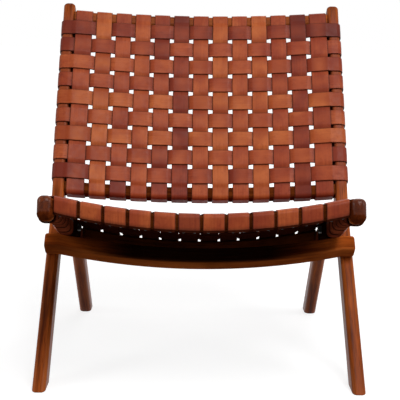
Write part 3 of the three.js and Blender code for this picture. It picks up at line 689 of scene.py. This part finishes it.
def strap_section(width):
    """The cut end of a strap: edges rounded over nearly all their thickness, and the faces crowned by a quarter of a
    millimetre times 1 - (2e / width)^2. Returns e across, t through, and how close each point is to an edge."""
    rounding = STRAP_THICKNESS * 0.44
    turn = np.linspace(0, np.pi / 2, 4)
    quarter = np.arange(4)[:, None] * np.pi / 2 + turn
    half_thickness = STRAP_THICKNESS / 2 - 0.03
    middles = np.array([[1, 1], [-1, 1], [-1, -1], [1, -1]]) * [width / 2 - rounding, half_thickness - rounding]
    corners = middles[:, None] + rounding * np.stack([np.cos(quarter), np.sin(quarter)], axis=-1)
    inner = width / 2 - 2.6
    face = np.array([[inner, 0], [0, 0], [-inner, 0]]) + [0, half_thickness]
    section = np.concatenate([corners[0], face, corners[1], corners[2], -face, corners[3]])
    e, t = section.T
    inward = width / 2 - np.abs(e)
    edge = np.where(inward < 0.5, 1.0, np.clip(1 - inward / 2.6, 0, 1))
    return e, t + 0.25 * (1 - (2 * e / width) ** 2), edge


def arc(middle_a, middle_h, radius, from_turn, to_turn):
    """A quarter circle from one turn to another, as places (a, h)."""
    angle = 2 * np.pi * np.linspace(from_turn, to_turn, 10)
    return np.stack([middle_a + radius * np.cos(angle), middle_h + radius * np.sin(angle)], axis=-1)


def strap_end(near, far, height, rounding, kind):
    """The way of a strap's middle round the wood at one end, from its tail to the level face.
    Its corners are quarter circles about the wood's own, larger by the clearance and half a strap."""
    into = math.copysign(1, far - near)
    near_turn, under_turn, far_turn = (0.5, 0.75, 1.0) if into > 0 else (0.0, -0.25, -0.5)
    off = LOW_LEVEL
    radius = rounding + off
    shoulder = arc(near + into * rounding, -rounding, radius, near_turn, 0.25)
    if kind == "short":
        return np.concatenate([[[near - into * off, -rounding - SHORT_TAIL]], shoulder])
    heel = arc(near + into * rounding, rounding - height, radius, under_turn, near_turn)
    tail = [[far - into * TAIL_INSET, -height - off]]
    if kind == "inner side":
        side = arc(far - into * rounding, rounding - height, radius, far_turn, under_turn)
        tail = np.concatenate([[[far + into * off, -height + rounding + INNER_TAIL]], side])
    return np.concatenate([tail, heel, shoulder])


def woven_way(first_end, last_end, crossings, are_over, lead):
    """The way of a strap's middle over and under the straps that it crosses, as places (a, h) a step apart.
    Between two crossings the height eases from one level to the next by a smooth step that starts a little inside
    each, so a strap bends round the one below it and never has a corner."""
    inside = 2.2
    level = np.where(are_over, HIGH_LEVEL, LOW_LEVEL)
    before = np.concatenate([[crossings[0, 0] - lead], crossings[:, 1] - inside])
    after = np.concatenate([crossings[:, 0] + inside, [crossings[-1, 1] + lead]])
    rise = np.diff(np.concatenate([[LOW_LEVEL], level, [LOW_LEVEL]]))
    a = np.arange(first_end[-1, 0] + 1.0, last_end[0, 0] - 0.5, WAY_STEP)
    h = LOW_LEVEL + np.sum(rise * step_up((a[:, None] - before) / (after - before)), axis=1)
    way = np.concatenate([first_end, np.stack([a, h], axis=-1), last_end])
    distance = lengths_along(way)
    even = np.arange(0, distance[-1], WAY_STEP)
    if distance[-1] - even[-1] < WAY_STEP / 2:
        even = even[:-1]
    even = np.append(even, distance[-1])
    return np.stack([np.interp(even, distance, way[:, axis]) for axis in (0, 1)], axis=-1), even


def strap(name, body, tint, panel, is_long, number, middle, width, way, distance, crossings, are_over):
    """A strap: its section is carried along its way in the plane (a, h), and wanders sideways by up to 0.35 mm.
    The crowns of the crossings where it lies on top are marked for lightening, partly wear and partly a painted
    highlight, and the places close to a strap that covers it for painted shade; wrapped marks where it goes round under
    the seat's wood, and flesh its inner side and the undersides of the seat's bars, and on the seat both take darker,
    glossless leathers as painted shade."""
    e, t, edge = strap_section(width)
    heading = np.gradient(way, axis=0)
    heading = heading / np.linalg.norm(heading, axis=1, keepdims=True)
    outward = np.stack([-heading[:, 1], heading[:, 0]], axis=-1)
    ends = np.minimum(distance, distance[-1] - distance)
    skived = 0.45 + 0.55 * step_up(ends / 5)
    rim = np.sqrt(np.clip(ends / 1.2, 0.02, 1))
    through = t[None] * (skived * rim)[:, None]
    a = way[:, :1] + outward[:, :1] * through
    h = way[:, 1:] + outward[:, 1:] * through
    phase = number * 1.7 + (0 if is_long else 0.9)
    wander = 0.22 * np.sin(distance / 31 + phase) + 0.13 * np.sin(distance / 12.7 + 2.3 * phase)
    across = middle + e[None] * (1 - 0.06 * (1 - rim))[:, None] + wander[:, None]
    rings = panel(across, a, h) if is_long else panel(a, across, h)
    along = way[:, :1]
    centre, half = crossings.mean(axis=1), (crossings[:, 1] - crossings[:, 0]) / 2
    outside = np.abs(along - centre) - half
    # Painted shade: places close to a strap that covers this one are marked to go darker.
    cover = np.where(are_over, 0, np.exp(-np.clip(outside, 0, None) / 1.5))
    on_face = (way[:, 1:] > -1)
    painted_tuck_shade = np.max(cover, axis=1, keepdims=True) * on_face
    # Crowns where this strap lies on top are marked to go lighter: partly wear, partly a painted highlight.
    crown = np.where(are_over, step_up(1 - np.abs(along - centre) / (half + 6)), 0)
    wear_and_sheen = np.max(crown, axis=1, keepdims=True) * on_face
    shape = rings.shape[:2]
    seed = number * 0.61 + (0 if is_long else 13.3) + (0 if body == "back_frame" else 29.7)
    hide = np.stack(np.broadcast_arrays(distance[:, None] * MILLIMETRE, e * MILLIMETRE, seed + t * MILLIMETRE), axis=-1)
    dark_tail = step_up(1 - ends / 2.0)[:, None]
    marks = {
        "hide": hide,
        "edge": np.maximum(np.broadcast_to(edge, shape), dark_tail),
        "painted_tuck_shade": np.broadcast_to(painted_tuck_shade, shape),
        "wear_and_sheen": np.broadcast_to(wear_and_sheen, shape),
    }
    below = way[:, 1:] < (-25 if is_long else -RAIL_DEPTH)
    on_inner_side = (way[:, 1:] < -4) & (np.abs(way[:, :1]) < RAIL_INNER + 4) & (not is_long)
    wrapped = np.broadcast_to((below | on_inner_side) & (body == "seat_frame"), shape)
    flesh = np.broadcast_to(t < 0, shape) | (wrapped & is_long)
    marks["wrapped"], marks["flesh"] = wrapped.astype(float), flesh.astype(float)
    points, faces, marks = closed_tube(rings, marks)
    piece = new_piece(name, body, LEATHERS[body[:4], tint], points, faces, marks, stands_for=(name,))
    # On the seat the wrapped parts and the flesh side take darker, glossless leathers as painted shade.
    return partly(partly(piece, SHADED_RAIL_WRAPS, marks["wrapped"]), FLESH_SIDES[body[:4]], marks["flesh"])


def tack_places(panel, is_long, middle, width, way, distance):
    """Rings of points for the two tacks at each end of a strap, a quarter of its width off its middle and a little
    way from its end. A head is a low dome: circles that shrink by shares as they rise to its crown."""
    angle = np.linspace(0, 2 * np.pi if is_long else -2 * np.pi, 10, endpoint=False)
    shares, heights = np.array([1.0, 1.0, 0.72, 0.38]), np.array([-0.5, 0.15, 0.65, 1.0])
    rings = []
    for at in (TACK_INSET, distance[-1] - TACK_INSET):
        place = np.array([np.interp(at, distance, way[:, axis]) for axis in (0, 1)])
        ahead = np.array([np.interp(at + 0.5, distance, way[:, axis]) for axis in (0, 1)]) - place
        ahead = ahead / np.linalg.norm(ahead)
        outward = np.array([-ahead[1], ahead[0]])
        for offset in (-width / 4, width / 4):
            across = middle + offset + TACK_RADIUS * shares[:, None] * np.cos(angle)
            along = TACK_RADIUS * shares[:, None] * np.sin(angle)
            rise = (STRAP_THICKNESS / 2 - 0.1 + heights[:, None]) + 0 * angle
            a = place[0] + ahead[0] * along + outward[0] * rise
            h = place[1] + ahead[1] * along + outward[1] * rise
            rings.append(panel(across, a, h) if is_long else panel(a, across, h))
    return rings


def strap_tacks(name, body, heads):
    """All the tacks of a panel in one mesh, from rings (tacks, rings, points, 3): each is a closed tube from the rim in
    the leather to the crown, which lies a little above the last ring."""
    _, faces, _ = closed_tube(heads[0], {})
    quads = np.array([face for face in faces if len(face) == 4])
    fans = np.array([face for face in faces if len(face) == 3])
    ends = heads[:, [0, -1]].mean(axis=2)
    ends[:, 1] += 0.3 * (ends[:, 1] - heads[:, -2].mean(axis=1))
    points = np.concatenate([heads.reshape(len(heads), -1, 3), ends], axis=1)
    steps = (np.arange(len(heads)) * points.shape[1])[:, None, None]
    all_faces = (quads + steps).reshape(-1, 4).tolist() + (fans + steps).reshape(-1, 3).tolist()
    return new_piece(name, body, BLUED_STEEL, points.reshape(-1, 3), all_faces)


LONG_TINTS = ("chestnut", "tan", "chestnut", "russet", "chestnut", "oxblood",
              "russet", "tan", "russet", "tan", "chestnut", "oxblood")
CROSS_TINTS = ("chestnut", "russet", "tan", "russet", "tan", "chestnut", "russet", "chestnut", "oxblood")


def woven_panel(label, panel, bars, bar_height, inner, outer, depth, rounding, columns, rows, end_kind):
    """All straps of a panel. Column and row cross with the long strap on top where their numbers are odd together."""
    (column_middles, long_widths), (row_starts, cross_widths) = columns, rows
    row_spans = np.stack([row_starts, row_starts + cross_widths], axis=-1)
    column_spans = np.stack([column_middles - long_widths / 2, column_middles + long_widths / 2], axis=-1)
    is_long_over = (np.arange(len(column_middles))[:, None] + np.arange(len(row_starts))) % 2 == 1
    body = f"{label}_frame"
    tacks = []
    for column, middle in enumerate(column_middles):
        start = strap_end(bars[0], bars[0] + BAR_LENGTH, bar_height, BAR_ROUNDING, "under")
        end = strap_end(bars[1] + BAR_LENGTH, bars[1], bar_height, BAR_ROUNDING, "under")[::-1]
        way, distance = woven_way(start, end, row_spans, is_long_over[column], lead=9)
        tint = LONG_TINTS[column % len(LONG_TINTS)]
        strap(f"{label}_long_strap_{column + 1}", body, tint, panel, True, column, middle, long_widths[column],
              way, distance, row_spans, is_long_over[column])
        tacks += tack_places(panel, True, middle, long_widths[column], way, distance)
    for row, begin in enumerate(row_starts):
        kind = end_kind(row)
        start = strap_end(-outer, -inner, depth, rounding, kind)
        end = strap_end(outer, inner, depth, rounding, kind)[::-1]
        way, distance = woven_way(start, end, column_spans, ~is_long_over[:, row], lead=11)
        tint = CROSS_TINTS[row % len(CROSS_TINTS)]
        strap(f"{label}_cross_strap_{row + 1}", body, tint, panel, False, row, begin + cross_widths[row] / 2,
              cross_widths[row], way, distance, column_spans, ~is_long_over[:, row])
        if kind != "short":
            tacks += tack_places(panel, False, begin + cross_widths[row] / 2, cross_widths[row], way, distance)
    strap_tacks(f"{label}_tacks", body, np.stack(tacks))


# ---- The chair. ----

BACK_ROWS = BACK_FIRST_ROW + PITCH * np.arange(9)
SEAT_ROWS = SEAT_FIRST_ROW + PITCH * np.arange(10)
BACK_COLUMNS = PITCH * np.arange(-6.0, 7.0)
SEAT_COLUMNS = SEAT_COLUMN_PITCH * (np.arange(12) - 5.5)
# The outer straps reach closer to the posts and rails, and the seat's first and last across closer to its bars.
BACK_COLUMN_WIDTHS = np.full(13, BACK_STRAP_WIDTH)
BACK_COLUMN_WIDTHS[[0, -1]] += 2.6
BACK_COLUMNS[[0, -1]] += [-1.3, 1.3]
SEAT_COLUMN_WIDTHS = np.full(12, SEAT_LONG_WIDTH)
SEAT_COLUMN_WIDTHS[[0, -1]] += 2.8
SEAT_COLUMNS[[0, -1]] += [-1.4, 1.4]
SEAT_ROW_WIDTHS = np.full(10, SEAT_CROSS_WIDTH)
SEAT_ROW_WIDTHS[[0, -1]] += [2.6, 5.0]
SEAT_ROWS[0] -= 2.6

for side, label in ((-1, "left"), (1, "right")):
    back_post(side, label)
    seat_rail(side, label)
cross_rail()
# The last number of each bar is its share of painted shade.
panel_bar("back_bottom_bar", "back_frame", back_place, BACK_BARS[0], BACK_BAR_HEIGHT, POST_INNER, 1, 0.6)
panel_bar("back_top_bar", "back_frame", back_place, BACK_BARS[1], BACK_BAR_HEIGHT, POST_INNER, 2, 0.15)
panel_bar("seat_front_bar", "seat_frame", seat_place, SEAT_BARS[0], SEAT_BAR_HEIGHT, RAIL_INNER, 3, 0.75)
panel_bar("seat_rear_bar", "seat_frame", seat_place, SEAT_BARS[1], SEAT_BAR_HEIGHT, RAIL_INNER, 4, 0.75)
woven_panel("back", back_place, BACK_BARS, BACK_BAR_HEIGHT, POST_INNER, HALF_WIDTH, POST_DEPTH, POST_ROUNDING,
            (BACK_COLUMNS, BACK_COLUMN_WIDTHS), (BACK_ROWS, np.full(9, BACK_STRAP_WIDTH)), lambda row: "under")
woven_panel("seat", seat_place, SEAT_BARS, SEAT_BAR_HEIGHT, RAIL_INNER, RAIL_OUTER, RAIL_DEPTH, RAIL_ROUNDING,
            (SEAT_COLUMNS, SEAT_COLUMN_WIDTHS), (SEAT_ROWS, SEAT_ROW_WIDTHS),
            lambda row: "short" if row in SHORT_SEAT_STRAPS else "inner side")

for name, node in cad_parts.items():
    if name.startswith("pivot_"):
        node.material_slots[0].material = BLUED_STEEL


# ---- The studio. ----

def studio():
    """A wide pale floor, a soft surround, and four large soft lamps. What the camera, metal and gloss see of the
    surround is white, and the floor grows white away from the chair."""
    floor_mesh = bpy.data.meshes.new("floor")
    corners = [(-30, -30, -0.0003), (30, -30, -0.0003), (30, 30, -0.0003), (-30, 30, -0.0003)]
    floor_mesh.from_pydata(corners, [], [(0, 1, 2, 3)])
    floor = bpy.data.objects.new("floor", floor_mesh)
    bpy.context.scene.collection.objects.link(floor)
    material = bpy.data.materials.new("pale_floor")
    material.use_nodes = True
    nodes, links = material.node_tree.nodes, material.node_tree.links
    surface = nodes["Principled BSDF"]
    surface.inputs["Base Color"].default_value = (0.40, 0.40, 0.40, 1)
    surface.inputs["Roughness"].default_value = 0.9
    surface.inputs["Specular IOR Level"].default_value = 0
    surface.inputs["Emission Color"].default_value = (1, 1, 1, 1)
    place = nodes.new("ShaderNodeTexCoord")
    away = nodes.new("ShaderNodeVectorMath")
    away.operation = "LENGTH"
    links.new(place.outputs["Object"], away.inputs[0])
    whiter = nodes.new("ShaderNodeMapRange")
    for socket, number in (("From Min", 0.55), ("From Max", 2.2), ("To Min", 0.80), ("To Max", 1.0)):
        whiter.inputs[socket].default_value = number
    links.new(away.outputs["Value"], whiter.inputs["Value"])
    glow = multiplied(nodes, links, seen_share(nodes, links), whiter.outputs["Result"])
    links.new(glow, surface.inputs["Emission Strength"])
    floor_mesh.materials.append(material)

    world = bpy.data.worlds.new("studio")
    bpy.context.scene.world = world
    world.use_nodes = True
    nodes, links = world.node_tree.nodes, world.node_tree.links
    background = nodes["Background"]
    background.inputs["Color"].default_value = (1, 1, 1, 1)
    level = nodes.new("ShaderNodeMapRange")
    level.inputs["To Min"].default_value = 0.18
    level.inputs["To Max"].default_value = 1.0
    links.new(seen_share(nodes, links), level.inputs["Value"])
    links.new(level.outputs["Result"], background.inputs["Strength"])

    soft_lamp("front_lamp", (0.9, -1.55, 2.85), (0, 0, 0.40), 1.6, 64)
    soft_lamp("left_lamp", (-2.6, -0.8, 1.6), (0, 0, 0.35), 0.9, 15)
    soft_lamp("right_lamp", (2.6, -0.9, 1.5), (0, 0, 0.35), 0.9, 14)
    soft_lamp("rear_lamp", (0.8, 2.6, 2.4), (0, 0, 0.40), 2.0, 26)


def seen_share(nodes, links):
    """1 for rays from the camera, off gloss or through glass, and 0 for the light that falls on the chair."""
    rays = nodes.new("ShaderNodeLightPath")
    share = rays.outputs["Is Camera Ray"]
    for name in ("Is Glossy Ray", "Is Transmission Ray"):
        larger = nodes.new("ShaderNodeMath")
        larger.operation = "MAXIMUM"
        links.new(share, larger.inputs[0])
        links.new(rays.outputs[name], larger.inputs[1])
        share = larger.outputs[0]
    return share


def multiplied(nodes, links, value, factor):
    node = nodes.new("ShaderNodeMath")
    node.operation = "MULTIPLY"
    links.new(value, node.inputs[0])
    links.new(factor, node.inputs[1])
    return node.outputs[0]


def soft_lamp(name, place, target, size, power):
    """A square lamp of a size in metres that faces a target."""
    lamp = bpy.data.objects.new(name, bpy.data.lights.new(name, "AREA"))
    lamp.data.shape, lamp.data.size, lamp.data.energy = "SQUARE", size, power
    lamp.location = place
    lamp.rotation_euler = (Vector(target) - Vector(place)).to_track_quat("-Z", "Y").to_euler()
    bpy.context.scene.collection.objects.link(lamp)


studio()
bpy.context.scene.view_settings.view_transform = "Standard"
